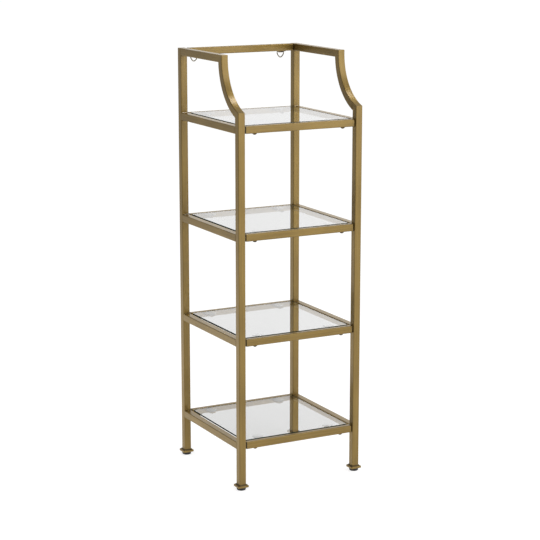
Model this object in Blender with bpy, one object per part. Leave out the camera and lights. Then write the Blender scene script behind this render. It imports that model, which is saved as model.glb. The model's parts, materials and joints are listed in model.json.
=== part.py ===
"""Bathroom etagere: a gold square-tube frame that carries four glass shelves.

Units are metres. +Z is up, +X runs to the right seen from the front, and +Y runs to the back.
The origin lies on the floor, under the middle of the unit.
"""
from math import atan2, copysign, cos, pi, radians, sin, sqrt

import bmesh
import bpy
from mathutils import Vector

# Overall size, measured over the tubes
WIDTH = 0.410
DEPTH = 0.406
HEIGHT = 1.282

# Tubes: square for the side frames, flat for the rails that cross between them
TUBE = 0.022
CROSS_RAIL_DEPTH = 0.016
WALL = 0.0012
TUBE_CORNER = 0.0022
CORNER_STEPS = 2

# Shelf levels, counted to the underside of the rails, and evenly spaced between the lowest and the top one
LEVELS = ("bottom", "lower", "upper", "top")
LOWEST_RAIL = 0.124
TOP_SHELF_DROP = 0.2175
SHELF_PITCH = (HEIGHT - TOP_SHELF_DROP - LOWEST_RAIL) / (len(LEVELS) - 1)

# Glass, which stands just above the rails around it
GLASS_THICKNESS = 0.005
GLASS_PROUD = 0.0005
GLASS_SIDE_GAP = 0.0065
GLASS_FRONT_GAP = 0.0045
GLASS_BACK_GAP = 0.0045
GLASS_CORNER = 0.004

# Curved arm at the front of each side frame
ARM_SETBACK = 0.107
ARM_SWEEP = radians(70)
ARM_STEPS = 14

# Tabs on the cross rails, and the suction cup that each one holds
CUP_FROM_LEG = 0.063
CUP_FROM_RAIL = 0.0245
TAB_RISE = 0.008
TAB_THICKNESS = 0.0025
TAB_WIDTH = 0.022
TAB_ROUND_STEPS = 8
CUP_RADIUS = 0.0165
CUP_LIP = 0.0007
CUP_DISH = 0.0035
CUP_WAIST_RADIUS = 0.006
CUP_NECK_RADIUS = 0.0032
CUP_HEAD_RADIUS = 0.0055
CUP_HEAD_DEPTH = 0.0035
CUP_SIDES = 16

# Feet: plate welded under the leg, stud screwed through it, glide on the stud
PLATE_SIDE = 0.035
PLATE_THICKNESS = 0.006
PLATE_CORNER = 0.003
GLIDE_RADIUS = 0.014
GLIDE_HEIGHT = 0.009
GLIDE_ROUND = 0.003
GLIDE_SIDES = 24
STUD_RADIUS = 0.0039
STUD_POINT = 0.001
STUD_ABOVE_PLATE = 0.012
STUD_SOCKET_DEPTH = 0.0033
STUD_SIDES = 16

# Anti-tip anchors: tongue welded under the top back rail, curled round a D-ring
ANCHOR_FROM_LEG = 0.034
TONGUE_WIDTH = 0.012
TONGUE_THICKNESS = 0.0015
TONGUE_PAST_BACK = 0.0034
CURL_RADIUS = 0.0031
CURL_STEPS = 14
RING_WIRE_RADIUS = 0.0017
RING_HALF_WIDTH = 0.0115
RING_DROP = 0.0175
RING_BEND = 0.0025
RING_BEND_STEPS = 3
RING_BOW_STEPS = 14
RING_TAPER = 1.2

# Clearances: between parts that touch, round a shaft in its hole, and the bite of a weld into a wall
GAP = 0.0003
RING_PLAY = 0.0004
WELD_BITE = WALL / 2

# Levels and planes that several parts share
LEG_FOOT = GLIDE_HEIGHT + GAP + PLATE_THICKNESS + GAP
LEG_X = (WIDTH - TUBE) / 2
LEG_Y = (DEPTH - TUBE) / 2
INNER_X = WIDTH / 2 - TUBE
INNER_Y = DEPTH / 2 - TUBE
CROSS_RAIL_Y = INNER_Y + CROSS_RAIL_DEPTH / 2
TOP_RAIL_Z = HEIGHT - TUBE / 2
CUP_X = INNER_X - CUP_FROM_LEG
CUP_Y = INNER_Y - CUP_FROM_RAIL
ANCHOR_X = INNER_X - ANCHOR_FROM_LEG
ARM_TOP_Y = -LEG_Y + ARM_SETBACK
ARM_RADIUS = ARM_SETBACK / (1 - cos(ARM_SWEEP))
ARM_FOOT_Z = TOP_RAIL_Z - ARM_RADIUS * sin(ARM_SWEEP)

X_AXIS = Vector((1, 0, 0))
Y_AXIS = Vector((0, 1, 0))
Z_AXIS = Vector((0, 0, 1))
FOOT_MITRE = Vector((0, sin(ARM_SWEEP / 2), cos(ARM_SWEEP / 2)))
TOP_MITRE = Vector((0, 1, 1)).normalized()


def clear_scene():
    for thing in list(bpy.data.objects):
        bpy.data.objects.remove(thing)


def finish(name, colour, roughness, metallic=0.0, transmission=0.0):
    """A plain Principled material."""
    material = bpy.data.materials.new(name)
    material.use_nodes = True
    shader = material.node_tree.nodes["Principled BSDF"]
    shader.inputs["Base Color"].default_value = (*colour, 1.0)
    shader.inputs["Roughness"].default_value = roughness
    shader.inputs["Metallic"].default_value = metallic
    shader.inputs["Transmission Weight"].default_value = transmission
    material.diffuse_color = (*colour, 1.0)
    return material


def place(name, bm, origin, material, parent, smooth_angle=radians(35)):
    """Turn a bmesh in world coordinates into an object whose origin is the given point."""
    bmesh.ops.recalc_face_normals(bm, faces=bm.faces)
    bmesh.ops.translate(bm, vec=-origin, verts=bm.verts)
    mesh = bpy.data.meshes.new(name)
    bm.to_mesh(mesh)
    bm.free()
    mesh.shade_smooth()
    mesh.set_sharp_from_angle(angle=smooth_angle)
    mesh.materials.append(material)
    thing = bpy.data.objects.new(name, mesh)
    thing.location = origin
    thing.parent = parent
    bpy.context.scene.collection.objects.link(thing)
    return thing


def rounded_outline(width, height, corner):
    """Points of a rounded rectangle, going round anticlockwise."""
    points = []
    for quarter, (side_u, side_v) in enumerate(((1, 1), (-1, 1), (-1, -1), (1, -1))):
        for step in range(CORNER_STEPS + 1):
            angle = (quarter + step / CORNER_STEPS) * pi / 2
            u = side_u * (width / 2 - corner) + corner * cos(angle)
            v = side_v * (height / 2 - corner) + corner * sin(angle)
            points.append((u, v))
    return points


def round_outline(centre_u, centre_v, radius, sides):
    """Points of a circle."""
    angles = [2 * pi * step / sides for step in range(sides)]
    return [(centre_u + radius * cos(a), centre_v + radius * sin(a)) for a in angles]


def closed_loop(bm, points):
    """Ring of new vertices, joined by edges."""
    verts = [bm.verts.new(point) for point in points]
    for pair in zip(verts, verts[1:] + verts[:1]):
        bm.edges.new(pair)
    return verts


def join_loops(bm, near, far):
    """Band of quads between two loops that have the same number of vertices."""
    for i in range(len(near)):
        bm.faces.new((near[i - 1], near[i], far[i], far[i - 1]))


def station(centre, across, up, along, cut=None):
    """A place along a tube: its centre, its section's two axes, its direction and the plane it is cut on."""
    return centre, across, up, along, cut or along


def drawn_back(centre, outward, cut):
    """Centre of a mitred end, drawn back along its tube by half a clearance."""
    return centre - outward * (GAP / 2 / abs(outward.dot(cut)))


def section_loop(bm, outline, place_on_tube):
    """The outline at one station, slid along the tube onto the station's cutting plane."""
    centre, across, up, along, cut = place_on_tube
    points = []
    for u, v in outline:
        offset = across * u + up * v
        slide = offset.dot(cut) / along.dot(cut)
        points.append(centre + offset - along * slide)
    return closed_loop(bm, points)


def tube_mesh(stations, width, height, cap=0.0):
    """Hollow tube through the stations. A cap closes the last end with that thickness."""
    bm = bmesh.new()
    skin = [section_loop(bm, rounded_outline(width, height, TUBE_CORNER), s) for s in stations]
    bore_outline = rounded_outline(width - 2 * WALL, height - 2 * WALL, TUBE_CORNER / 2)
    bore_stations = list(stations)
    if cap:
        centre, across, up, along, cut = stations[-1]
        bore_stations[-1] = station(centre - along * cap, across, up, along, cut)
    bore = [section_loop(bm, bore_outline, s) for s in bore_stations]
    for wall in (skin, bore):
        for near, far in zip(wall, wall[1:]):
            join_loops(bm, near, far)
    join_loops(bm, skin[0], bore[0])
    if cap:
        bm.faces.new(skin[-1])
        bm.faces.new(bore[-1])
    else:
        join_loops(bm, skin[-1], bore[-1])
    return bm


def add_flat_piece(bm, outline, hole, spot, across, up, thickness):
    """Flat outline, with a hole if one is given, raised by its thickness along across x up."""
    raise_by = across.cross(up) * thickness
    loops = []
    for points in filter(None, (outline, hole)):
        near = closed_loop(bm, [spot + across * u + up * v for u, v in points])
        far = closed_loop(bm, [spot + across * u + up * v + raise_by for u, v in points])
        loops.append((near, far))
    for rims in zip(*loops):
        edges = {edge for rim in rims for vert in rim for edge in vert.link_edges}
        bmesh.ops.triangle_fill(bm, use_beauty=True, edges=list(edges))
    for near, far in loops:
        join_loops(bm, near, far)


def turned_mesh(profile, sides, axis_spot):
    """Solid of revolution about a vertical axis. The profile holds (radius, height) points."""
    bm = bmesh.new()
    verts = [bm.verts.new(axis_spot + X_AXIS * radius + Z_AXIS * height) for radius, height in profile]
    edges = [bm.edges.new(pair) for pair in zip(verts, verts[1:])]
    bmesh.ops.spin(bm, geom=verts + edges, cent=axis_spot, axis=Z_AXIS, angle=2 * pi, steps=sides, use_merge=True)
    bmesh.ops.remove_doubles(bm, verts=bm.verts, dist=0.00001)
    return bm


def middle(stations):
    return (stations[0][0] + stations[-1][0]) / 2


def add_tube(name, stations, width, height, material, parent, cap=0.0):
    return place(name, tube_mesh(stations, width, height, cap), middle(stations), material, parent)


def weld_on(rail, name, bm):
    """Join a helper shape to a rail with a Boolean union, and keep the helper out of the model."""
    helper = place(name, bm, rail.location.copy(), rail.data.materials[0], rail.parent)
    helper.hide_render = True
    helper.display_type = "WIRE"
    union = rail.modifiers.new(name, "BOOLEAN")
    union.operation = "UNION"
    union.solver = "EXACT"
    union.object = helper


def rail_underside(level):
    return LOWEST_RAIL + SHELF_PITCH * level


def glass_underside(level):
    return rail_underside(level) + TUBE + GLASS_PROUD - GLASS_THICKNESS


def add_side_frame(side, x, gold, parent):
    """Two legs, the side rails between them, the top side rail and the curved arm."""
    leg_axes = (X_AXIS, Y_AXIS, Z_AXIS)
    rear_leg = [
        station(Vector((x, LEG_Y, LEG_FOOT)), *leg_axes),
        station(Vector((x, LEG_Y, HEIGHT)), *leg_axes),
    ]
    add_tube(f"rear_{side}_leg", rear_leg, TUBE, TUBE, gold, parent, cap=WALL)
    arm_foot = Vector((x, -LEG_Y, ARM_FOOT_Z))
    front_leg = [
        station(Vector((x, -LEG_Y, LEG_FOOT)), *leg_axes),
        station(drawn_back(arm_foot, Z_AXIS, FOOT_MITRE), *leg_axes, cut=FOOT_MITRE),
    ]
    add_tube(f"front_{side}_leg", front_leg, TUBE, TUBE, gold, parent)

    rail_axes = (X_AXIS, Z_AXIS, Y_AXIS)
    for level, level_name in enumerate(LEVELS):
        z = rail_underside(level) + TUBE / 2
        side_rail = [station(Vector((x, y, z)), *rail_axes) for y in (-INNER_Y + GAP, INNER_Y - GAP)]
        add_tube(f"{level_name}_{side}_rail", side_rail, TUBE, TUBE, gold, parent)

    corner = Vector((x, ARM_TOP_Y, TOP_RAIL_Z))
    top_rail = [
        station(drawn_back(corner, -Y_AXIS, TOP_MITRE), *rail_axes, cut=TOP_MITRE),
        station(Vector((x, INNER_Y - GAP, TOP_RAIL_Z)), *rail_axes),
    ]
    add_tube(f"{side}_top_rail", top_rail, TUBE, TUBE, gold, parent)

    arm = []
    for step in range(ARM_STEPS + 1):
        angle = ARM_SWEEP * step / ARM_STEPS
        outward = Vector((0, cos(angle), -sin(angle)))
        along = Vector((0, -sin(angle), -cos(angle)))
        centre = corner + ARM_RADIUS * (outward - Y_AXIS)
        arm.append(station(centre, X_AXIS, outward, along))
    arm[0] = station(drawn_back(corner, Z_AXIS, TOP_MITRE), X_AXIS, Y_AXIS, -Z_AXIS, TOP_MITRE)
    foot, across, up, along, _ = arm[-1]
    arm[-1] = station(drawn_back(foot, along, FOOT_MITRE), across, up, along, FOOT_MITRE)
    add_tube(f"{side}_arm", arm, TUBE, TUBE, gold, parent)


def add_cross_rail(name, y, underside, gold, parent):
    z = underside + TUBE / 2
    rail = [station(Vector((x, y, z)), Y_AXIS, Z_AXIS, X_AXIS) for x in (-INNER_X + GAP, INNER_X - GAP)]
    return add_tube(name, rail, CROSS_RAIL_DEPTH, TUBE, gold, parent)


def tab_outline():
    """Tab seen from above, with its root bitten into the rail's wall at v = 0 and a round free end."""
    half = TAB_WIDTH / 2
    points = [(-half, -WELD_BITE), (half, -WELD_BITE)]
    for step in range(TAB_ROUND_STEPS + 1):
        angle = pi * step / TAB_ROUND_STEPS
        points.append((half * cos(angle), CUP_FROM_RAIL + half * sin(angle)))
    return points


def add_shelf_rail(level, level_name, end, inward, gold, parent):
    """Front or back rail of a shelf, with its two tabs. Inward is +1 on the front rail and -1 on the back."""
    rail = add_cross_rail(f"{level_name}_{end}_rail", -inward * CROSS_RAIL_Y, rail_underside(level), gold, parent)
    hole = round_outline(0, CUP_FROM_RAIL, CUP_NECK_RADIUS + GAP, CUP_SIDES)
    tabs = bmesh.new()
    for x in (-CUP_X, CUP_X):
        spot = Vector((x, -inward * INNER_Y, rail_underside(level) + TAB_RISE))
        add_flat_piece(tabs, tab_outline(), hole, spot, X_AXIS * inward, Y_AXIS * inward, TAB_THICKNESS)
    weld_on(rail, f"{rail.name}_tabs", tabs)


def cup_profile():
    """Suction cup from the middle of its dish, over the lip and down to its push-in head. Height 0 is the rim."""
    tab_top = TUBE + GLASS_PROUD - GLASS_THICKNESS - GAP - TAB_RISE - TAB_THICKNESS
    shoulder = GAP - tab_top
    head_top = -tab_top - TAB_THICKNESS - GAP
    head_bottom = head_top - CUP_HEAD_DEPTH
    return [
        (0, -CUP_DISH),
        (CUP_RADIUS / 2, -CUP_DISH * 0.75),
        (CUP_RADIUS - CUP_LIP, 0),
        (CUP_RADIUS, -CUP_LIP),
        (CUP_WAIST_RADIUS, shoulder * 0.7),
        (CUP_WAIST_RADIUS, shoulder),
        (CUP_NECK_RADIUS, shoulder),
        (CUP_NECK_RADIUS, head_top),
        (CUP_HEAD_RADIUS, head_top),
        (CUP_HEAD_RADIUS, head_top - CUP_HEAD_DEPTH / 3),
        (CUP_NECK_RADIUS, head_bottom),
        (0, head_bottom),
    ]


def add_shelf(level, level_name, glass, clear, parent):
    """Glass pane and the four suction cups under it."""
    width = 2 * (INNER_X - GLASS_SIDE_GAP)
    depth = 2 * INNER_Y - GLASS_FRONT_GAP - GLASS_BACK_GAP
    underside = Vector((0, (GLASS_FRONT_GAP - GLASS_BACK_GAP) / 2, glass_underside(level)))
    pane = bmesh.new()
    outline = rounded_outline(width, depth, GLASS_CORNER)
    add_flat_piece(pane, outline, None, underside, X_AXIS, Y_AXIS, GLASS_THICKNESS)
    place(f"{level_name}_glass_shelf", pane, underside, glass, parent)
    for end, y in (("front", -CUP_Y), ("back", CUP_Y)):
        for side, x in (("left", -CUP_X), ("right", CUP_X)):
            rim = Vector((x, y, glass_underside(level) - GAP))
            cup = turned_mesh(cup_profile(), CUP_SIDES, rim)
            place(f"{level_name}_{end}_{side}_cup", cup, rim, clear, parent)


def add_foot(name, x, y, gold, steel, black, parent):
    """Foot plate under a leg, with its levelling stud and glide, screwed right in."""
    plate_bottom = GLIDE_HEIGHT + GAP
    axis_spot = Vector((x, y, 0))
    plate = bmesh.new()
    outline = rounded_outline(PLATE_SIDE, PLATE_SIDE, PLATE_CORNER)
    hole = round_outline(0, 0, STUD_RADIUS + GAP, STUD_SIDES)
    plate_spot = axis_spot + Z_AXIS * plate_bottom
    add_flat_piece(plate, outline, hole, plate_spot, X_AXIS, Y_AXIS, PLATE_THICKNESS)
    place(f"{name}_foot_plate", plate, plate_spot, gold, parent)

    socket = GLIDE_HEIGHT - STUD_SOCKET_DEPTH
    stud_top = plate_bottom + PLATE_THICKNESS + STUD_ABOVE_PLATE
    stud_profile = [
        (0, socket + GAP),
        (STUD_RADIUS, socket + GAP),
        (STUD_RADIUS, stud_top - STUD_POINT),
        (STUD_RADIUS - STUD_POINT, stud_top),
        (0, stud_top),
    ]
    place(f"{name}_stud", turned_mesh(stud_profile, STUD_SIDES, axis_spot), axis_spot, steel, parent)

    glide_profile = [
        (0, 0),
        (GLIDE_RADIUS - GLIDE_ROUND, 0),
        (GLIDE_RADIUS - GLIDE_ROUND * (1 - sin(radians(45))), GLIDE_ROUND * (1 - cos(radians(45)))),
        (GLIDE_RADIUS, GLIDE_ROUND),
        (GLIDE_RADIUS, GLIDE_HEIGHT),
        (STUD_RADIUS + GAP, GLIDE_HEIGHT),
        (STUD_RADIUS + GAP, socket),
        (0, socket),
    ]
    place(f"{name}_glide", turned_mesh(glide_profile, GLIDE_SIDES, axis_spot), axis_spot, black, parent)


def ring_axis_height():
    """Height of the D-ring's pivot above the top back rail's underside."""
    return -GAP - CURL_RADIUS


def tongue_outline():
    """Tongue seen from the side: u runs to the back from the rail's middle, v up from its underside."""
    rail_half = CROSS_RAIL_DEPTH / 2
    curl_u = DEPTH / 2 + TONGUE_PAST_BACK - CROSS_RAIL_Y
    curl_v = ring_axis_height()
    top = curl_v + CURL_RADIUS
    bottom = top - TONGUE_THICKNESS
    lift = bottom - curl_v
    start = atan2(lift, -sqrt(CURL_RADIUS ** 2 - lift ** 2))
    sweep = 2 * pi + pi / 2 - start
    points = [
        (rail_half - WALL, top),
        (rail_half - WALL, WELD_BITE),
        (-rail_half + WALL, WELD_BITE),
        (-rail_half + WALL, bottom),
    ]
    for step in range(CURL_STEPS + 1):
        angle = start + sweep * step / CURL_STEPS
        points.append((curl_u + CURL_RADIUS * cos(angle), curl_v + CURL_RADIUS * sin(angle)))
    return points, (curl_u, curl_v)


def add_top_back_rail(gold, parent):
    """Top back rail with its two welded anchor tongues."""
    underside = HEIGHT - TUBE
    rail = add_cross_rail("back_top_rail", CROSS_RAIL_Y, underside, gold, parent)
    outline, curl = tongue_outline()
    hole = round_outline(*curl, RING_WIRE_RADIUS + RING_PLAY, CUP_SIDES)
    tongues = bmesh.new()
    for x in (-ANCHOR_X, ANCHOR_X):
        spot = Vector((x - TONGUE_WIDTH / 2, CROSS_RAIL_Y, underside))
        add_flat_piece(tongues, outline, hole, spot, Y_AXIS, Z_AXIS, TONGUE_WIDTH)
    weld_on(rail, "back_top_rail_tongues", tongues)


def ring_path():
    """The D-ring's wire, from the right bend round the bow to the left one, with the straight bar on top."""
    points = []
    for step in range(RING_BEND_STEPS + 1):
        angle = pi / 2 * (1 - step / RING_BEND_STEPS)
        bend_x = RING_HALF_WIDTH - RING_BEND + RING_BEND * cos(angle)
        points.append((bend_x, RING_BEND * (sin(angle) - 1)))
    for step in range(1, RING_BOW_STEPS):
        angle = pi * step / RING_BOW_STEPS
        across = copysign(abs(cos(angle)) ** RING_TAPER, cos(angle))
        down = sin(angle) ** RING_TAPER
        points.append((RING_HALF_WIDTH * across, -RING_BEND - (RING_DROP - RING_BEND) * down))
    mirrored = [(-x, z) for x, z in reversed(points[:RING_BEND_STEPS + 1])]
    return points + mirrored


def add_ring(side, x, steel, parent):
    """D-ring whose straight bar turns in the tongue's curl."""
    wire = bpy.data.curves.new(f"{side}_anchor_ring", "CURVE")
    wire.dimensions = "3D"
    wire.twist_mode = "Z_UP"
    wire.bevel_depth = RING_WIRE_RADIUS
    wire.bevel_resolution = 2
    spline = wire.splines.new("POLY")
    path = ring_path()
    spline.points.add(len(path) - 1)
    for point, (path_x, path_z) in zip(spline.points, path):
        point.co = (path_x, 0, path_z, 1)
    spline.use_cyclic_u = True
    wire.materials.append(steel)
    ring = bpy.data.objects.new(f"{side}_anchor_ring", wire)
    ring.location = (x, DEPTH / 2 + TONGUE_PAST_BACK, HEIGHT - TUBE + ring_axis_height())
    ring.parent = parent
    bpy.context.scene.collection.objects.link(ring)


def build():
    clear_scene()
    gold = finish("gold_paint", (0.36, 0.255, 0.105), 0.38, metallic=0.55)
    glass = finish("tempered_glass", (0.86, 0.93, 0.90), 0.03, transmission=1.0)
    clear = finish("clear_vinyl", (0.90, 0.91, 0.89), 0.15, transmission=0.9)
    black = finish("black_glide", (0.015, 0.015, 0.015), 0.45)
    steel = finish("zinc_steel", (0.52, 0.50, 0.44), 0.35, metallic=1.0)

    etagere = bpy.data.objects.new("etagere", None)
    bpy.context.scene.collection.objects.link(etagere)

    for side, x in (("left", -LEG_X), ("right", LEG_X)):
        add_side_frame(side, x, gold, etagere)
        for end, y in (("front", -LEG_Y), ("rear", LEG_Y)):
            add_foot(f"{end}_{side}", x, y, gold, steel, black, etagere)
    for level, level_name in enumerate(LEVELS):
        add_shelf_rail(level, level_name, "front", 1, gold, etagere)
        add_shelf_rail(level, level_name, "back", -1, gold, etagere)
        add_shelf(level, level_name, glass, clear, etagere)
    add_top_back_rail(gold, etagere)
    for side, x in (("left", -ANCHOR_X), ("right", ANCHOR_X)):
        add_ring(side, x, steel, etagere)


build()
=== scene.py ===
"""Looks of the bathroom etagere.

Satin gold tubes, glass shelves on clear suction cups, and black levelling feet. Everything is in
metres, in the part's own frame: +Z up, +X to the right, +Y to the back.
"""
import json
from math import atan2, copysign, cos, pi, radians, sin, sqrt

import bmesh
import bpy
from mathutils import Matrix, Vector


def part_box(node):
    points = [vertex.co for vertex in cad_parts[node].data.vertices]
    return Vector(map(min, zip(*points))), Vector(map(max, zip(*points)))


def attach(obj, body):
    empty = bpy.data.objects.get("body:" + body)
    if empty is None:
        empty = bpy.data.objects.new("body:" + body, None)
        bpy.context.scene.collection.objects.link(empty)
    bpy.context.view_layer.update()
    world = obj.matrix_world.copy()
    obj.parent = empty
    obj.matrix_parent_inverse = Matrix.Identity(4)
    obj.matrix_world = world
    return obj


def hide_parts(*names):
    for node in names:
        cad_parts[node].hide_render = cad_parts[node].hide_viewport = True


# Camera, at the photograph's viewing angle
IMAGE_WIDTH = 540
SENSOR_WIDTH = 36.0
FOCAL_PIXELS = 1703.7
CAMERA_SPOT = (-2.3684, -4.503, 1.7052)
CAMERA_TURN = radians(-27.78)
CAMERA_TILT = radians(12.114)
CAMERA_REACH = 100

# Sizes shared with the solids
TUBE = 0.022
CROSS_RAIL_DEPTH = 0.016
ARM_SWEEP = radians(70)
JOINT_GAP = 0.0003
TAB_WIDTH = 0.022
TAB_RISE = 0.008
TAB_THICKNESS = 0.0025
TAB_ROOT = 0.001
TONGUE_WIDTH = 0.012
TONGUE_THICKNESS = 0.0011
TONGUE_INSET = 0.0015
CURL_RADIUS = 0.0031
RING_WIRE_RADIUS = 0.0017
RING_HALF_WIDTH = 0.0115
RING_DROP = 0.0175
RING_BEND = 0.0025
RING_TAPER = 1.2
GLASS_CORNER = 0.004
PLATE_CORNER = 0.003
GLIDE_ROUND = 0.003
GLIDE_SOCKET = 0.0042

# Shapes that the finish adds to the plain solids
TUBE_CORNER = 0.0022
TUBE_END_EASE = 0.0005
LEFT_SLIP_GAP = 0.0062
RIGHT_SLIP_GAP = 0.0016
STUB_LENGTH = 0.045
STUB_PLAY = 0.0016
WELD_LEG = 0.0026
WELD_THROAT = 0.0010
WELD_ROOT = 0.0006
GLASS_ARRIS = 0.0006
SCREW_FROM_END = 0.037
SCREW_HEAD_RADIUS = 0.0072
SCREW_HEAD_HEIGHT = 0.0048
SCREW_SOCKET_RADIUS = 0.0021
SCREW_SOCKET_DEPTH = 0.0016
SCREW_SINK = 0.0004
THREAD_PITCH = 0.00125
THREAD_DEPTH = 0.0005
PLATE_EASE = 0.0011
BEAD_WIDTH = 0.0028
BEAD_HEIGHT = 0.0030
GLIDE_GROOVE = 0.0005
GLIDE_EASE = 0.0008
CURL_START = radians(112)
CURL_END = radians(-175)

# Shares of those sizes
TAB_ROUNDING = 0.98
STRAP_END = 1.6
SCREW_REACH = 1.1
HEXAGON_SHARE = 0.86
BEAD_ROUNDING = 0.9
THREAD_ROOT = 0.1
THREAD_CREST = (0.45, 0.65)
GROOVE_LEVEL = 0.66
SOCKET_LEVEL = 0.52

# Steps in the round shapes
TUBE_CORNER_STEPS = 4
EASE_STEPS = 2
ARM_STEPS = 30
TAB_STEPS = 10
CURL_STEPS = 22
RING_BEND_STEPS = 6
RING_BOW_STEPS = 28
RING_WIRE_STEPS = 4
GLASS_CORNER_STEPS = 5
PLATE_CORNER_STEPS = 4
PLATE_EASE_STEPS = 3
BEAD_STEPS = 3
SCREW_DOME_STEPS = 6
SCREW_SIDES = 24
STUD_SIDES = 32
CUP_SIDES = 40
GLIDE_SIDES = 56
GLIDE_ROUND_STEPS = 6
GLIDE_EASE_STEPS = 4

# Limits by which vertices, edges and faces are merged or picked
MERGE_DISTANCE = 0.000002
SAME_HEIGHT = 0.00001
SAME_PLACE = 0.0001
PARALLEL = 0.99
ACROSS = 0.1
RIM_ANGLE = radians(60)
SQUARE_ANGLE = radians(80)
UPRIGHT_FACE = 0.5

# Angles from which an edge shades as a sharp one
SHARP = radians(38)
SHARP_SCREW = radians(30)
SHARP_CUP = radians(50)
SHARP_ROUNDED = radians(60)

# Suction cup from the middle of its dish, over the lip and down to its head: radius, and height
# from the rim
CUP_PROFILE = [
    (0.0, -0.0024), (0.0060, -0.0021), (0.0110, -0.0013), (0.0145, -0.0005), (0.0158, 0.0002),
    (0.0164, 0.0), (0.0165, -0.0004), (0.0160, -0.0009), (0.0140, -0.0018), (0.0112, -0.0031),
    (0.0086, -0.0045), (0.0069, -0.0055), (0.0061, -0.0061), (0.0060, -0.0065), (0.0032, -0.0065),
    (0.0032, -0.0095), (0.0050, -0.0096), (0.0055, -0.0100), (0.0055, -0.0107), (0.0047, -0.0119),
    (0.0033, -0.0128), (0.0016, -0.0130), (0.0, -0.0130),
]

# Gold paint: its colours, and how fine its streaks are along the tube and across it
GOLD_DARK = (0.172, 0.109, 0.025)
GOLD_LIGHT = (0.256, 0.168, 0.041)
GOLD_BRIGHT = (0.40, 0.27, 0.075)
LONG = 5
FINE = 420
EVEN_GRAIN = (160, 160, 160)

# Studio. The surroundings differ for the camera, for metal and for glass. Each list of pairs is a
# fade: where it stands between 0 and 1, and the brightness there.
WHITE = (1, 1, 1, 1)
FLOOR_SIZE = 40
FLOOR_COLOUR = (0.42, 0.42, 0.42, 1)
FLOOR_GLOW = 0.80
SKY_LIGHT = 0.55
SKY_GAIN = 1.53
THROUGH_GLASS = 0.56
BRIGHT_SIDE = (0.95, -0.3, 0)
GLOSSY_MEAN = 0.90
GLOSSY_SWING = 0.59
GLOSSY_NEAR = 1.12
NEAR_AREA = 4.0
POOL_LEVEL = 0.75
POOL_REACH = 6.0
POOL_FADE = [(0.05, 0.0), (0.30, 1.0), (0.50, 0.75), (0.85, 0.0)]
DARK_CORNER = (-0.88, -0.47, 0)
DARK_CORNER_FADE = [(0.62, 1.0), (0.94, 0.5)]
DARK_FLOOR_FADE = [(0.06, 0.0), (0.20, 1.0)]
CEILING_SLOPE = 0.35
CEILING_FADE = [(0.54, 1.0), (0.76, 0.36)]
HAZE_RISE_FADE = [(0.10, 0.75), (0.30, 1.0)]
HAZE_BACK_FADE = [(0.1, 0.6), (0.6, 1.0)]

# Soft lamps: name, spot, target, width and power in watts
LAMPS = [
    ("key_panel", (2.2, -3.6, 2.2), (0, 0, 0.7), 3.8, 56),
    ("fill_panel", (-3.2, -1.4, 2.0), (0, 0, 0.7), 2.2, 14),
    ("top_panel", (1.2, -0.1, 3.7), (0, 0, 0.6), 0.8, 20),
]

LEVELS = ("bottom", "lower", "upper", "top")
SIDES = ("left", "right")
X_AXIS = Vector((1, 0, 0))
Y_AXIS = Vector((0, 1, 0))
Z_AXIS = Vector((0, 0, 1))


class Value:
    """A shader socket that takes part in sums. Each sum adds a Math node."""

    def __init__(self, finish, socket):
        self.finish = finish
        self.socket = socket

    def sum(self, operation, first, second):
        return self.finish.node("ShaderNodeMath", {"operation": operation}, {0: first, 1: second})

    def __add__(self, other):
        return self.sum("ADD", self, other)

    def __radd__(self, other):
        return self.sum("ADD", other, self)

    def __sub__(self, other):
        return self.sum("SUBTRACT", self, other)

    def __rsub__(self, other):
        return self.sum("SUBTRACT", other, self)

    def __mul__(self, other):
        return self.sum("MULTIPLY", self, other)

    def __rmul__(self, other):
        return self.sum("MULTIPLY", other, self)

    def __truediv__(self, other):
        return self.sum("DIVIDE", self, other)

    def __rtruediv__(self, other):
        return self.sum("DIVIDE", other, self)


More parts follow.
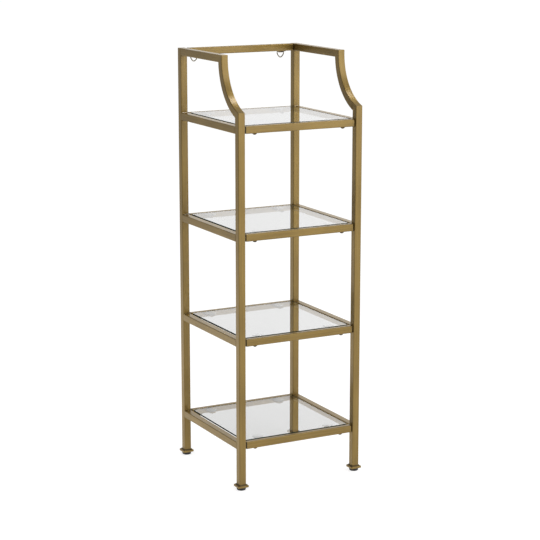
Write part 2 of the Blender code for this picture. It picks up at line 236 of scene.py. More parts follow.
class Finish:
    """The nodes of a material or world in the making."""

    def __init__(self, owner):
        self.owner = owner
        owner.use_nodes = True
        self.tree = owner.node_tree
        self.tree.nodes.clear()

    def node(self, kind, settings=None, inputs=None, output=0):
        """Add a node: its settings first, then the values or links of its sockets."""
        made = self.tree.nodes.new(kind)
        for name, setting in (settings or {}).items():
            if name == "stops":
                self.set_stops(made.color_ramp, setting)
            else:
                setattr(made, name, setting)
        for name, value in (inputs or {}).items():
            if isinstance(value, Value):
                self.tree.links.new(value.socket, made.inputs[name])
            else:
                made.inputs[name].default_value = value
        return Value(self, made.outputs[output]) if made.outputs else None

    def set_stops(self, ramp, stops):
        while len(ramp.elements) < len(stops):
            ramp.elements.new(1.0)
        for element, (position, colour) in zip(ramp.elements, stops):
            element.position = position
            element.color = colour

    def coordinates(self, scale):
        """Object coordinates, stretched."""
        plain = self.node("ShaderNodeTexCoord", output="Object")
        return self.node("ShaderNodeMapping", {}, {"Vector": plain, "Scale": scale})

    def noise(self, scale, detail=2.0, roughness=0.5, stretch=(1, 1, 1)):
        place = self.coordinates(stretch)
        inputs = {"Vector": place, "Scale": scale, "Detail": detail, "Roughness": roughness}
        return self.node("ShaderNodeTexNoise", {}, inputs)

    def ramp(self, factor, stops):
        """Grey that fades between the stops."""
        grey = [(position, (level, level, level, 1)) for position, level in stops]
        return self.node("ShaderNodeValToRGB", {"stops": grey}, {"Fac": factor})

    def mix(self, factor, first, second):
        """Colour between two colours."""
        inputs = {0: factor, 6: first, 7: second}
        return self.node("ShaderNodeMix", {"data_type": "RGBA"}, inputs, output=2)

    def bump(self, height, distance, strength):
        inputs = {"Height": height, "Distance": distance, "Strength": strength}
        return self.node("ShaderNodeBump", {}, inputs)

    def principled(self, inputs):
        return self.node("ShaderNodeBsdfPrincipled", {}, inputs)

    def show(self, shader):
        """Put the shader on the material's surface, and return the material."""
        self.node("ShaderNodeOutputMaterial", {}, {"Surface": shader})
        return self.owner

    def let_lamps_through(self, shader, tint):
        """The shader, with its shadow lightened to the tint."""
        shadow_ray = self.node("ShaderNodeLightPath", output="Is Shadow Ray")
        clear = self.node("ShaderNodeBsdfTransparent", {}, {"Color": tint})
        return self.node("ShaderNodeMixShader", {}, {0: shadow_ray, 1: shader, 2: clear})

    def dot(self, first, second):
        inputs = {0: first, 1: second}
        return self.node("ShaderNodeVectorMath", {"operation": "DOT_PRODUCT"}, inputs, output=1)

    def shaded_side(self, bearing):
        """Brightness that metal mirrors from a direction: the room is lighter on one side."""
        return GLOSSY_MEAN + self.dot(bearing, BRIGHT_SIDE) * GLOSSY_SWING

    def dark_corner(self, bearing):
        """Share of that brightness which is left towards the room's dark corner."""
        return self.ramp(self.dot(bearing, DARK_CORNER), DARK_CORNER_FADE)

    def surroundings(self, plain, mirrored):
        """White to the camera, grey through glass, mirrored in metal, and plain for other rays."""
        paths = ("Is Camera Ray", "Is Transmission Ray", "Is Glossy Ray")
        camera, through, glossy = [self.node("ShaderNodeLightPath", output=path) for path in paths]
        seen = camera * (1 - plain) + through * (THROUGH_GLASS - plain)
        return plain + seen + glossy * (1 - through) * (mirrored - plain)


def toned(colour, tone):
    """Opaque colour, made lighter or darker."""
    return (*(channel * tone for channel in colour), 1)


def gold_paint(name, run, tone=1.0):
    """Satin metallic gold, brushed on along the tube: run stretches the streaks."""
    finish = Finish(bpy.data.materials.new(name))
    streaks = finish.noise(1.0, 3.0, 0.6, run)
    clouds = finish.noise(9.0, 2.0)
    flakes = finish.noise(2600.0, 1.0)
    peel = finish.noise(420.0, 2.0)
    worn = finish.ramp(streaks * 0.65 + clouds * 0.35, [(0.32, 0.0), (0.68, 1.0)])
    body = finish.mix(worn, toned(GOLD_DARK, tone), toned(GOLD_LIGHT, tone))
    glint = finish.ramp(flakes, [(0.60, 0.0), (0.78, 0.35)])
    colour = finish.mix(glint, body, toned(GOLD_BRIGHT, tone))
    roughness = 0.44 - worn * 0.07 + flakes * 0.08
    height = streaks * 0.5 + peel * 0.3 + flakes * 0.12
    surface = finish.principled({
        "Base Color": colour,
        "Metallic": 0.82,
        "Roughness": roughness,
        "Specular Tint": (0.95, 0.85, 0.66, 1),
        "Coat Weight": 0.50,
        "Coat Roughness": 0.20,
        "Normal": finish.bump(height, 0.00025, 0.35),
    })
    return finish.show(surface)


def shelf_glass():
    """Clear float glass with a faint grey-green body."""
    finish = Finish(bpy.data.materials.new("shelf_glass"))
    smears = finish.ramp(finish.noise(14.0, 4.0, 0.6), [(0.45, 0.0), (0.8, 1.0)])
    surface = finish.principled({
        "Base Color": (0.82, 0.823, 0.818, 1),
        "Roughness": smears * 0.012,
        "IOR": 1.5,
        "Transmission Weight": 1.0,
    })
    return finish.show(finish.let_lamps_through(surface, (0.90, 0.92, 0.91, 1)))


def glass_edge():
    """Polished edge of the glass, where it shows its green depth."""
    finish = Finish(bpy.data.materials.new("glass_edge"))
    depth = finish.noise(60.0, 2.0, 0.5, (1, 1, 0.2))
    colour = finish.mix(depth, (0.004, 0.020, 0.016, 1), (0.012, 0.045, 0.036, 1))
    surface = finish.principled({
        "Base Color": colour,
        "Roughness": 0.10 + depth * 0.10,
        "IOR": 1.5,
        "Specular IOR Level": 0.15,
    })
    return finish.show(surface)


def clear_vinyl():
    """Soft clear plastic, slightly clouded."""
    finish = Finish(bpy.data.materials.new("clear_vinyl_moulding"))
    cloud = finish.noise(300.0, 3.0)
    surface = finish.principled({
        "Base Color": finish.mix(cloud, (0.93, 0.935, 0.93, 1), (0.99, 0.99, 0.99, 1)),
        "Roughness": 0.16 + cloud * 0.16,
        "IOR": 1.28,
        "Transmission Weight": 0.92,
    })
    return finish.show(finish.let_lamps_through(surface, (0.8, 0.8, 0.8, 1)))


def black_nylon():
    """Moulded black plastic with a fine grain and pale scuffs."""
    finish = Finish(bpy.data.materials.new("black_nylon"))
    grain = finish.noise(1800.0, 3.0)
    scuffs = finish.ramp(finish.noise(260.0, 4.0, 0.65), [(0.62, 0.0), (0.75, 1.0)])
    surface = finish.principled({
        "Base Color": finish.mix(scuffs, (0.010, 0.010, 0.010, 1), (0.035, 0.034, 0.032, 1)),
        "Roughness": 0.36 + scuffs * 0.2 + grain * 0.08,
        "Normal": finish.bump(grain, 0.00006, 0.3),
    })
    return finish.show(surface)


def plated_steel(name, pale, dull, roughness):
    """Plated steel with a faint mottling."""
    finish = Finish(bpy.data.materials.new(name))
    mottle = finish.ramp(finish.noise(420.0, 4.0, 0.6), [(0.35, 0.0), (0.7, 1.0)])
    surface = finish.principled({
        "Base Color": finish.mix(mottle, dull, pale),
        "Metallic": 1.0,
        "Roughness": roughness + mottle * 0.1,
    })
    return finish.show(surface)


def studio_floor():
    """Pale floor that shows white to the camera and keeps the object's shadow."""
    finish = Finish(bpy.data.materials.new("pale_floor"))
    card = finish.node("ShaderNodeBsdfDiffuse", {}, {"Color": FLOOR_COLOUR})
    place = finish.node("ShaderNodeTexCoord", output="Object")
    bearing = finish.node("ShaderNodeVectorMath", {"operation": "NORMALIZE"}, {0: place})
    distance = finish.node("ShaderNodeVectorMath", {"operation": "LENGTH"}, {0: place}, output=1)
    far = finish.shaded_side(bearing)
    near = NEAR_AREA / (distance * distance + NEAR_AREA)
    shade = finish.dot(bearing, BRIGHT_SIDE) * -1
    lit = finish.ramp(distance / POOL_REACH, POOL_FADE)
    pool = shade.sum("MAXIMUM", shade, 0) * lit * POOL_LEVEL
    mirrored = far + (GLOSSY_NEAR - far) * near + pool
    reach = finish.ramp(distance / POOL_REACH, DARK_FLOOR_FADE)
    corner = 1 - (1 - finish.dark_corner(bearing)) * reach
    strength = FLOOR_GLOW * finish.surroundings(0, mirrored * corner)
    glow = finish.node("ShaderNodeEmission", {}, {"Color": WHITE, "Strength": strength})
    return finish.show(finish.node("ShaderNodeAddShader", {}, {0: card, 1: glow}))


def add_object(name, data):
    """New object in the scene."""
    made = bpy.data.objects.new(name, data)
    bpy.context.scene.collection.objects.link(made)
    return made


def piece(name, bm, body, materials, replaces=(), sharp=SHARP):
    """A finished bmesh as an object that rides on a body of the part."""
    bmesh.ops.remove_doubles(bm, verts=bm.verts, dist=MERGE_DISTANCE)
    bmesh.ops.recalc_face_normals(bm, faces=bm.faces)
    mesh = bpy.data.meshes.new(name)
    bm.to_mesh(mesh)
    bm.free()
    mesh.shade_smooth()
    mesh.set_sharp_from_angle(angle=sharp)
    for material in materials:
        mesh.materials.append(material)
    made = add_object(name, mesh)
    made.modifiers.new("flat_faces_stay_flat", "WEIGHTED_NORMAL").keep_sharp = True
    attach(made, body)
    if replaces:
        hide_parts(*replaces)
    return made


def only(kind, things):
    """Those of the things that are of a kind, such as faces."""
    return [thing for thing in things if isinstance(thing, kind)]


def bevel(bm, edges, width, steps):
    bmesh.ops.bevel(
        bm, geom=edges, offset=width, offset_type="OFFSET", affect="EDGES",
        segments=steps, profile=0.5, material=-1, clamp_overlap=True,
    )


def direction(edge):
    """Unit vector along an edge."""
    return (edge.verts[1].co - edge.verts[0].co).normalized()


def edges_along(bm, axis):
    return [e for e in bm.edges if abs(direction(e).dot(axis)) > PARALLEL]


def square_edges(bm):
    """Edges where two faces still meet at about a right angle."""
    return [e for e in bm.edges if e.calc_face_angle(0) > SQUARE_ANGLE]


def add_block(bm, low, high):
    """Plain block between two corners, and its vertices."""
    size = high - low
    place = Matrix.Translation((low + high) / 2) @ Matrix.Diagonal((*size, 1))
    return bmesh.ops.create_cube(bm, size=1, matrix=place)["verts"]


def cut_off(bm, spot, outward):
    """Cut away what lies beyond a plane, and close the cut."""
    everything = bm.verts[:] + bm.edges[:] + bm.faces[:]
    cut = bmesh.ops.bisect_plane(
        bm, geom=everything, plane_co=spot, plane_no=outward, clear_outer=True)
    bmesh.ops.edgeloop_fill(bm, edges=only(bmesh.types.BMEdge, cut["geom_cut"]))


def pull_out(bm, faces, way):
    """Extrude faces and move them, and return the moved faces."""
    drawn = bmesh.ops.extrude_face_region(bm, geom=faces)["geom"]
    bmesh.ops.translate(bm, vec=way, verts=only(bmesh.types.BMVert, drawn))
    return only(bmesh.types.BMFace, drawn)


def tube_block(low, high, axis):
    """Square tube between two corners, with round long edges."""
    bm = bmesh.new()
    add_block(bm, low, high)
    bevel(bm, edges_along(bm, axis), TUBE_CORNER, TUBE_CORNER_STEPS)
    return bm


def ease_ends(bm, axis):
    """Break the sharp rims of a tube's two ends."""
    rims = [e for e in bm.edges if e.calc_face_angle(0) > RIM_ANGLE]
    rims = [e for e in rims if abs(direction(e).dot(axis)) < ACROSS]
    bevel(bm, rims, TUBE_END_EASE, EASE_STEPS)


def add_line(bm, points):
    """Vertices at the points, and the edges that join them in a row."""
    verts = [bm.verts.new(point) for point in points]
    return verts + [bm.edges.new(pair) for pair in zip(verts, verts[1:])]


def add_turned(bm, profile, sides, axis_spot):
    """Add a shape turned about a vertical axis from (radius, height) points."""
    points = [axis_spot + X_AXIS * radius + Z_AXIS * height for radius, height in profile]
    bmesh.ops.spin(
        bm, geom=add_line(bm, points), cent=axis_spot, axis=Z_AXIS,
        angle=2 * pi, steps=sides, use_merge=True,
    )


def arc(centre_u, centre_v, radius, start, end, steps):
    """Points along an arc in a plane."""
    angles = [start + (end - start) * step / steps for step in range(steps + 1)]
    return [(centre_u + radius * cos(a), centre_v + radius * sin(a)) for a in angles]


def add_tube(node, bm, material):
    """A finished tube in place of its plain solid."""
    return piece(f"{node}_tube", bm, "frame", [material], [node])


def make_side_frame(side):
    """Legs, rails and curved arm of one side, welded and ground flush."""
    low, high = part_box(f"rear_{side}_leg")
    rear_leg = tube_block(low, high, Z_AXIS)
    ease_ends(rear_leg, Z_AXIS)
    add_tube(f"rear_{side}_leg", rear_leg, gold_upright)

    arm_low, arm_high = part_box(f"{side}_arm")
    rail_low, rail_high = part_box(f"{side}_top_rail")
    leg_low, leg_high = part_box(f"front_{side}_leg")
    leg_spot = (leg_low + leg_high) / 2
    setback = arm_high.y - TUBE / 2 - leg_spot.y
    radius = setback / (1 - cos(ARM_SWEEP))
    corner = Vector((leg_spot.x, leg_spot.y + setback, rail_high.z - TUBE / 2))
    hub = corner - Y_AXIS * radius
    foot = hub + Vector((0, radius * cos(ARM_SWEEP), -radius * sin(ARM_SWEEP)))
    foot_mitre = Vector((0, sin(ARM_SWEEP / 2), cos(ARM_SWEEP / 2)))
    top_mitre = Vector((0, 1, 1)).normalized()

    leg_end = Vector((leg_high.x, leg_high.y, foot.z)) + Z_AXIS * TUBE
    front_leg = tube_block(leg_low, leg_end, Z_AXIS)
    cut_off(front_leg, foot, foot_mitre)
    add_tube(f"front_{side}_leg", front_leg, gold_upright)

    rail_start = Vector((rail_low.x, arm_low.y, rail_low.z))
    top_rail = tube_block(rail_start, rail_high + Y_AXIS * JOINT_GAP, Y_AXIS)
    cut_off(top_rail, corner, -top_mitre)
    add_tube(f"{side}_top_rail", top_rail, gold_fore_aft)

    arm = bent_tube(corner, hub)
    cut_off(arm, corner, top_mitre)
    cut_off(arm, foot, -foot_mitre)
    add_tube(f"{side}_arm", arm, gold_arm)

    welds = bmesh.new()
    for level in LEVELS:
        node = f"{level}_{side}_rail"
        low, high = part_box(node)
        reach = Y_AXIS * JOINT_GAP
        add_tube(node, tube_block(low - reach, high + reach, Y_AXIS), gold_fore_aft)
        for y, inward in ((low.y - JOINT_GAP, 1), (high.y + JOINT_GAP, -1)):
            add_weld(welds, Vector((leg_spot.x, y, high.z)), inward, 1)
            add_weld(welds, Vector((leg_spot.x, y, low.z)), inward, -1)
    add_weld(welds, Vector((leg_spot.x, rail_high.y + JOINT_GAP, rail_low.z)), -1, -1)
    # The weld fillets wear gold paint darkened to 0.6: painted shade in the corners where rails
    # meet legs.
    piece(f"{side}_frame_welds", welds, "frame", [weld_painted_shade])


def bent_tube(corner, hub):
    """Square tube bent about a hub from the corner down, with spare length for both mitre cuts."""
    spare = Vector((0, 0, TUBE))
    arm = bmesh.new()
    section = bmesh.ops.create_grid(
        arm, x_segments=1, y_segments=1, size=TUBE / 2, matrix=Matrix.Translation(corner + spare))
    bmesh.ops.bevel(
        arm, geom=section["verts"], offset=TUBE_CORNER, offset_type="OFFSET", affect="VERTICES",
        segments=TUBE_CORNER_STEPS, profile=0.5, material=-1)
    lower_end = pull_out(arm, arm.faces[:], -spare)
    bend = bmesh.ops.spin(
        arm, geom=lower_end, cent=hub, axis=X_AXIS,
        angle=-ARM_SWEEP, steps=ARM_STEPS, use_merge=False)
    lower_end = only(bmesh.types.BMFace, bend["geom_last"])
    pull_out(arm, lower_end, Vector((0, -sin(ARM_SWEEP), -cos(ARM_SWEEP))) * TUBE)
    inside = [f for f in arm.faces if all(len(e.link_faces) > 2 for e in f.edges)]
    bmesh.ops.delete(arm, geom=inside, context="FACES_ONLY")
    return arm


def add_weld(bm, spot, inward, upward):
    """Small smooth fillet along the inside corner where a rail meets a leg."""
    half = TUBE / 2 - TUBE_CORNER
    root = bmesh.ops.create_grid(bm, x_segments=1, y_segments=1, size=0.5)["verts"]
    corners = [
        spot + Vector((-half, -inward * WELD_ROOT, -upward * WELD_ROOT)),
        spot + Vector((-half, inward * WELD_LEG, -upward * WELD_ROOT)),
        spot + Vector((-half, inward * WELD_THROAT, upward * WELD_THROAT)),
        spot + Vector((-half, -inward * WELD_ROOT, upward * WELD_LEG)),
    ]
    face = root[0].link_faces[0]
    for vert, corner in zip(face.verts, corners):
        vert.co = corner
    pull_out(bm, [face], X_AXIS * 2 * half)


def make_cross_rail(node, tube_low, tube_high):
    """Flat rail between the side frames, slipped over a stub at each end and screwed from below."""
    left_gap = X_AXIS * (LEFT_SLIP_GAP - JOINT_GAP)
    right_gap = X_AXIS * (RIGHT_SLIP_GAP - JOINT_GAP)
    rail = tube_block(tube_low + left_gap, tube_high - right_gap, X_AXIS)
    ease_ends(rail, X_AXIS)
    add_tube(node, rail, gold_across)
    play = Vector((0, STUB_PLAY, STUB_PLAY))
    middle_y = (tube_low.y + tube_high.y) / 2
    stubs = bmesh.new()
    screws = bmesh.new()
    for end_x, inward in ((tube_low.x, 1), (tube_high.x, -1)):
        near = end_x - inward * JOINT_GAP
        far = end_x + inward * STUB_LENGTH
        low = Vector((min(near, far), tube_low.y, tube_low.z)) + play
        high = Vector((max(near, far), tube_high.y, tube_high.z)) - play
        add_block(stubs, low, high)
        add_screw(screws, Vector((end_x + inward * SCREW_FROM_END, middle_y, tube_low.z)))
    # The stubs wear gold paint darkened to 0.12: painted shade for the dark seam at each rail end.
    piece(f"{node}_stubs", stubs, "frame", [stub_painted_shade])
    # The screw heads are coloured dark bronze: painted shade on gold heads under the rail.
    piece(f"{node}_screws", screws, "frame", [screw_painted_shade], sharp=SHARP_SCREW)


def add_screw(bm, spot):
    """Button-head screw seen from below, with a hexagon socket."""
    drop = SCREW_HEAD_HEIGHT
    rise = (SCREW_HEAD_RADIUS ** 2 - drop ** 2) / (2 * drop)
    ball = rise + drop
    rim = atan2(rise, SCREW_HEAD_RADIUS)
    mouth = atan2(sqrt(ball ** 2 - SCREW_SOCKET_RADIUS ** 2), SCREW_SOCKET_RADIUS)
    profile = [(SCREW_HEAD_RADIUS, SCREW_SINK)]
    for u, v in arc(0, 0, ball, rim, mouth, SCREW_DOME_STEPS):
        profile.append((u, rise - v))
    add_turned(bm, profile, SCREW_SIDES, spot)
    bmesh.ops.remove_doubles(bm, verts=bm.verts, dist=MERGE_DISTANCE)
    lowest = spot.z + profile[-1][1]
    near = [v for v in bm.verts if (v.co - spot).xy.length < SCREW_HEAD_RADIUS * SCREW_REACH]
    mouth_edges = {
        e for v in near for e in v.link_edges
        if all(abs(end.co.z - lowest) < SAME_HEIGHT for end in e.verts)
    }
    place = Matrix.Translation(Vector((spot.x, spot.y, lowest)))
    hexagon = bmesh.ops.create_circle(
        bm, segments=6, radius=SCREW_SOCKET_RADIUS * HEXAGON_SHARE, matrix=place)["verts"]
    hexagon_edges = {e for v in hexagon for e in v.link_edges}
    bmesh.ops.bridge_loops(bm, edges=list(mouth_edges) + list(hexagon_edges))
    floor_face = bmesh.ops.contextual_create(bm, geom=hexagon)["faces"]
    pull_out(bm, floor_face, Z_AXIS * SCREW_SOCKET_DEPTH)


def make_shelf_rail(level, end, inward):
    """Front or back rail of a shelf with its two tabs. Inward is +1 in front and -1 at the back."""
    node = f"{level}_{end}_rail"
    low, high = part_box(node)
    inner_y = low.y + CROSS_RAIL_DEPTH if inward > 0 else high.y - CROSS_RAIL_DEPTH
    tube_low = Vector((low.x, low.y if inward > 0 else inner_y, low.z))
    tube_high = Vector((high.x, inner_y if inward > 0 else high.y, high.z))
    make_cross_rail(node, tube_low, tube_high)
    tabs = bmesh.new()
    root_y = inner_y - inward * TAB_ROOT
    free_y = high.y if inward > 0 else low.y
    z = low.z + TAB_RISE
    for side in SIDES:
        cup_low, cup_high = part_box(f"{level}_{end}_{side}_cup")
        x = (cup_low.x + cup_high.x) / 2
        tab_low = Vector((x - TAB_WIDTH / 2, min(root_y, free_y), z))
        tab_high = Vector((x + TAB_WIDTH / 2, max(root_y, free_y), z + TAB_THICKNESS))
        verts = add_block(tabs, tab_low, tab_high)
        uprights = [
            e for e in edges_along(tabs, Z_AXIS)
            if all(v in verts and abs(v.co.y - free_y) < SAME_PLACE for v in e.verts)
        ]
        bevel(tabs, uprights, TAB_WIDTH / 2 * TAB_ROUNDING, TAB_STEPS)
    piece(f"{node}_tabs", tabs, "frame", [gold_plate])


def make_top_back_rail():
    """Top back rail with the two tongues that hold the anti-tip rings."""
    node = "back_top_rail"
    low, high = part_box(node)
    tube_low = Vector((low.x, low.y, high.z - TUBE))
    tube_high = Vector((high.x, low.y + CROSS_RAIL_DEPTH, high.z))
    make_cross_rail(node, tube_low, tube_high)
    joints = {joint["name"]: joint for joint in frame["joints"]}
    for side in SIDES:
        pivot = Vector(joints[f"{side}_ring_swing"]["pos_m"])
        make_tongue(side, pivot, tube_low)
        make_ring(side, pivot)


def make_tongue(side, pivot, tube_low):
    """Strap under the top back rail, curled round the bar of its ring."""
    strap_z = tube_low.z - TONGUE_THICKNESS / 2 - pivot.z
    start_y = tube_low.y + TONGUE_INSET - pivot.y
    curl = CURL_RADIUS - TONGUE_THICKNESS / 2
    path = [(start_y, strap_z), (-curl * STRAP_END, strap_z)]
    path += arc(0, 0, curl, CURL_START, CURL_END, CURL_STEPS)
    tongue = bmesh.new()
    points = [pivot + Vector((-TONGUE_WIDTH / 2, y, z)) for y, z in path]
    edges = only(bmesh.types.BMEdge, add_line(tongue, points))
    drawn = bmesh.ops.extrude_edge_only(tongue, edges=edges)["geom"]
    far_verts = only(bmesh.types.BMVert, drawn)
    bmesh.ops.translate(tongue, vec=X_AXIS * TONGUE_WIDTH, verts=far_verts)
    made = piece(f"{side}_anchor_tongue", tongue, "frame", [gold_plate])
    thicken = made.modifiers.new("thickness", "SOLIDIFY")
    thicken.thickness = TONGUE_THICKNESS
    thicken.offset = 0
    made.modifiers.move(1, 0)


def make_ring(side, pivot):
    """D-ring of bent wire, its straight bar in the tongue's curl."""
    bend_x = RING_HALF_WIDTH - RING_BEND
    path = arc(bend_x, -RING_BEND, RING_BEND, pi / 2, 0, RING_BEND_STEPS)
    bow = RING_DROP - RING_BEND
    for u, v in arc(0, 0, 1, 0, pi, RING_BOW_STEPS)[1:-1]:
        across = copysign(abs(u) ** RING_TAPER, u)
        path.append((RING_HALF_WIDTH * across, -RING_BEND - bow * v ** RING_TAPER))
    path += arc(-bend_x, -RING_BEND, RING_BEND, pi, pi / 2, RING_BEND_STEPS)
    curve = bpy.data.curves.new("ring_wire", "CURVE")
    curve.dimensions = "3D"
    curve.twist_mode = "Z_UP"
    curve.bevel_depth = RING_WIRE_RADIUS
    curve.bevel_resolution = RING_WIRE_STEPS
    spline = curve.splines.new("POLY")
    spline.points.add(len(path) - 1)
    for point, (x, z) in zip(spline.points, path):
        point.co = (*(pivot + Vector((x, 0, z))), 1)
    spline.use_cyclic_u = True
    wire = add_object("ring_wire", curve)
    ring = bmesh.new()
    ring.from_mesh(wire.evaluated_get(bpy.context.evaluated_depsgraph_get()).to_mesh())
    bpy.data.objects.remove(wire)
    node = f"{side}_anchor_ring"
    piece(f"{node}_wire", ring, f"{side}_ring", [zinc], [node], sharp=SHARP_ROUNDED)


def make_glass(level):
    """Glass pane with rounded corners and polished, arrised edges."""
    node = f"{level}_glass_shelf"
    low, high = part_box(node)
    pane = bmesh.new()
    add_block(pane, low, high)
    bevel(pane, edges_along(pane, Z_AXIS), GLASS_CORNER, GLASS_CORNER_STEPS)
    bevel(pane, square_edges(pane), GLASS_ARRIS, EASE_STEPS)
    for face in pane.faces:
        face.material_index = 1 if abs(face.normal.z) < UPRIGHT_FACE else 0
    piece(f"{level}_glass_pane", pane, f"{level}_shelf", [glass, edge], [node])


def make_cup(level, end, side):
    """Clear suction cup, pressed under the glass and pushed through its tab."""
    node = f"{level}_{end}_{side}_cup"
    low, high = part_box(node)
    spot = Vector(((low.x + high.x) / 2, (low.y + high.y) / 2, high.z))
    cup = bmesh.new()
    add_turned(cup, CUP_PROFILE, CUP_SIDES, spot)
    piece(f"{node}_moulding", cup, "frame", [vinyl], [node], sharp=SHARP_CUP)


def make_foot(corner):
    """Foot plate with its weld bead, threaded stud and glide under one leg."""
    plate_node = f"{corner}_foot_plate"
    low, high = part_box(plate_node)
    plate = bmesh.new()
    add_block(plate, low, high + Z_AXIS * JOINT_GAP)
    bevel(plate, edges_along(plate, Z_AXIS), PLATE_CORNER, PLATE_CORNER_STEPS)
    bevel(plate, square_edges(plate), PLATE_EASE, PLATE_EASE_STEPS)
    piece(f"{plate_node}_pressing", plate, "frame", [gold_plate], [plate_node])

    axis_spot = Vector(((low.x + high.x) / 2, (low.y + high.y) / 2, 0))
    make_bead(corner, axis_spot + Z_AXIS * high.z)
    make_stud(corner, axis_spot)
    make_glide(corner, axis_spot)


def make_bead(corner, spot):
    """Weld bead round the foot of a leg."""
    reach = TUBE / 2 + BEAD_WIDTH
    bead = bmesh.new()
    bead_low = spot + Vector((-reach, -reach, 0))
    bead_high = spot + Vector((reach, reach, BEAD_HEIGHT))
    add_block(bead, bead_low, bead_high)
    bevel(bead, edges_along(bead, Z_AXIS), TUBE_CORNER, BEAD_STEPS)
    rims = [e for e in bead.edges if all(v.co.z > spot.z + BEAD_HEIGHT / 2 for v in e.verts)]
    bevel(bead, rims, BEAD_WIDTH * BEAD_ROUNDING, BEAD_STEPS)
    name = f"{corner}_foot_bead"
    # The bead wears gold paint darkened to 0.35: painted shade round the foot of the leg.
    piece(name, bead, "frame", [bead_painted_shade], sharp=SHARP_ROUNDED)


def make_stud(corner, axis_spot):
    """Levelling stud, its thread turned as rings."""
    low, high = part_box(f"{corner}_stud")
    radius = (high.x - low.x) / 2
    profile = [(0, low.z)]
    turns = int((high.z - low.z) / THREAD_PITCH)
    for turn in range(turns):
        z = low.z + turn * THREAD_PITCH
        profile.append((radius - THREAD_DEPTH, z + THREAD_ROOT * THREAD_PITCH))
        for share in THREAD_CREST:
            profile.append((radius, z + share * THREAD_PITCH))
    profile.append((radius - THREAD_DEPTH, high.z))
    profile.append((0, high.z))
    stud = bmesh.new()
    add_turned(stud, profile, STUD_SIDES, axis_spot)
    piece(
        f"{corner}_stud_thread", stud, f"{corner}_leveller", [zinc],
        [f"{corner}_stud"])


def make_glide(corner, axis_spot):
    """Black glide with a rounded rim, a fine groove, and a socket for the stud."""
    low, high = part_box(f"{corner}_glide")
    radius = (high.x - low.x) / 2
    height = high.z - low.z
    groove_z = height * GROOVE_LEVEL
    socket_z = height * SOCKET_LEVEL
    shell = [(0, 0), (radius - GLIDE_ROUND, 0)]
    shell += arc(radius - GLIDE_ROUND, GLIDE_ROUND, GLIDE_ROUND, -pi / 2, 0, GLIDE_ROUND_STEPS)
    shell += [
        (radius, groove_z - GLIDE_GROOVE),
        (radius - GLIDE_GROOVE, groove_z),
        (radius, groove_z + GLIDE_GROOVE),
    ]
    rim = radius - GLIDE_EASE
    shell += arc(rim, height - GLIDE_EASE, GLIDE_EASE, 0, pi / 2, GLIDE_EASE_STEPS)
    shell += [(GLIDE_SOCKET, height), (GLIDE_SOCKET, socket_z), (0, socket_z)]
    glide = bmesh.new()
    add_turned(glide, shell, GLIDE_SIDES, axis_spot)
    piece(
        f"{corner}_glide_moulding", glide, f"{corner}_foot", [black],
        [f"{corner}_glide"])


def make_floor():
    """Pale floor that catches the object's shadow."""
    floor = bmesh.new()
    bmesh.ops.create_grid(floor, x_segments=1, y_segments=1, size=FLOOR_SIZE)
    mesh = bpy.data.meshes.new("floor")
    floor.to_mesh(mesh)
    floor.free()
    mesh.materials.append(studio_floor())
    ground = add_object("floor", mesh)


def make_sky():
    """White surroundings, with what metal mirrors of a room."""
    world = bpy.data.worlds.new("studio")
    bpy.context.scene.world = world
    sky = Finish(world)
    bearing = sky.node("ShaderNodeTexCoord", output="Generated")
    rise = sky.node("ShaderNodeSeparateXYZ", {}, {0: bearing}, output="Z")
    back = sky.node("ShaderNodeSeparateXYZ", {}, {0: bearing}, output="Y")
    ceiling = sky.ramp(rise + back * CEILING_SLOPE, CEILING_FADE)
    haze = SKY_GAIN * sky.ramp(rise, HAZE_RISE_FADE) * sky.ramp(back, HAZE_BACK_FADE)
    mirrored = sky.shaded_side(bearing) * sky.dark_corner(bearing) * ceiling * haze
    strength = sky.surroundings(SKY_LIGHT, mirrored)
    light = sky.node("ShaderNodeBackground", {}, {"Color": WHITE, "Strength": strength})
    sky.node("ShaderNodeOutputWorld", {}, {"Surface": light})


def light_panel(name, spot, target, width, power):
    """Soft square lamp that faces a target."""
    lamp = bpy.data.lights.new(name, "AREA")
    lamp.size = width
    lamp.energy = power
    made = add_object(name, lamp)
    made.location = spot
    made.rotation_euler = (Vector(target) - Vector(spot)).to_track_quat("-Z", "Y").to_euler()


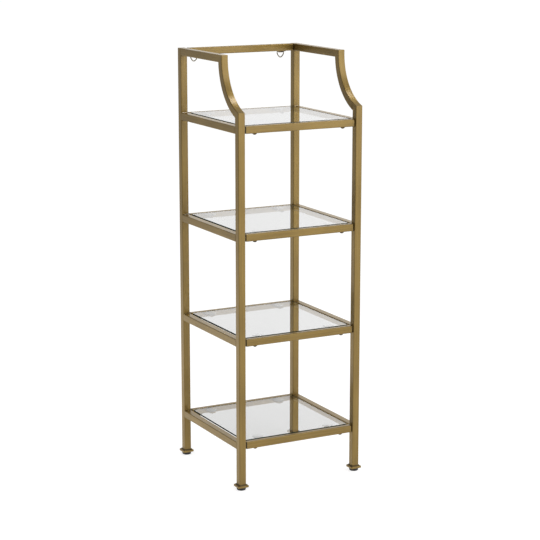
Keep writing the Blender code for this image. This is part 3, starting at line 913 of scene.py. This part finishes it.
def make_camera():
    camera = bpy.data.cameras.new("camera")
    camera.sensor_width = SENSOR_WIDTH
    camera.lens = FOCAL_PIXELS / IMAGE_WIDTH * SENSOR_WIDTH
    camera.clip_end = CAMERA_REACH
    made = add_object("camera", camera)
    made.location = CAMERA_SPOT
    made.rotation_euler = (pi / 2 - CAMERA_TILT, 0, CAMERA_TURN)
    bpy.context.scene.camera = made


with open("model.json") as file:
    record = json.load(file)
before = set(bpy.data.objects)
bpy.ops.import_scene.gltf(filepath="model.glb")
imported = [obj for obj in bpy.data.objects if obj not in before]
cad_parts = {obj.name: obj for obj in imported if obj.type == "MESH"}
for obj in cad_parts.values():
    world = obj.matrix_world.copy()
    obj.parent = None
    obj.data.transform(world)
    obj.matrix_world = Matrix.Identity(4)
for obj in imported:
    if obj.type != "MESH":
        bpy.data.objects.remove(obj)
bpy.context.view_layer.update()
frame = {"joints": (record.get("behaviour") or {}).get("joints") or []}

bpy.context.scene.view_settings.view_transform = "Standard"

gold_upright = gold_paint("gold_paint_upright", (FINE, FINE, LONG))
gold_arm = gold_paint("gold_paint_arm", (FINE, LONG, LONG))
gold_across = gold_paint("gold_paint_across", (LONG, FINE, FINE))
gold_fore_aft = gold_paint("gold_paint_fore_aft", (FINE, LONG, FINE))
gold_plate = gold_paint("gold_paint_plate", EVEN_GRAIN, 1.05)
# Weld paint at 0.6 of the gold's tone is painted shade in the corners where rails meet legs.
weld_painted_shade = gold_paint("gold_paint_weld_painted_shade", EVEN_GRAIN, 0.6)
# Bead paint at 0.35 of the gold's tone is painted shade round the feet of the legs.
bead_painted_shade = gold_paint("gold_paint_bead_painted_shade", EVEN_GRAIN, 0.35)
# Stub paint at 0.12 of the gold's tone is painted shade, for the dark seams at the rail ends.
stub_painted_shade = gold_paint("gold_paint_stub_painted_shade", (LONG, FINE, FINE), 0.12)
glass = shelf_glass()
edge = glass_edge()
vinyl = clear_vinyl()
black = black_nylon()
zinc = plated_steel("zinc_plate", (0.30, 0.27, 0.20, 1), (0.17, 0.15, 0.11, 1), 0.24)
# The dark screw colour is painted shade: the heads are gold, darkened for the shade under the
# rails.
screw_painted_shade = plated_steel("dark_screw_painted_shade", (0.10, 0.066, 0.030, 1), (0.055, 0.038, 0.018, 1), 0.30)

for side in SIDES:
    make_side_frame(side)
    for end in ("front", "rear"):
        make_foot(f"{end}_{side}")
for level in LEVELS:
    make_shelf_rail(level, "front", 1)
    make_shelf_rail(level, "back", -1)
    make_glass(level)
    for end in ("front", "back"):
        for side in SIDES:
            make_cup(level, end, side)
make_top_back_rail()

make_floor()
make_sky()
for lamp in LAMPS:
    light_panel(*lamp)
make_camera()
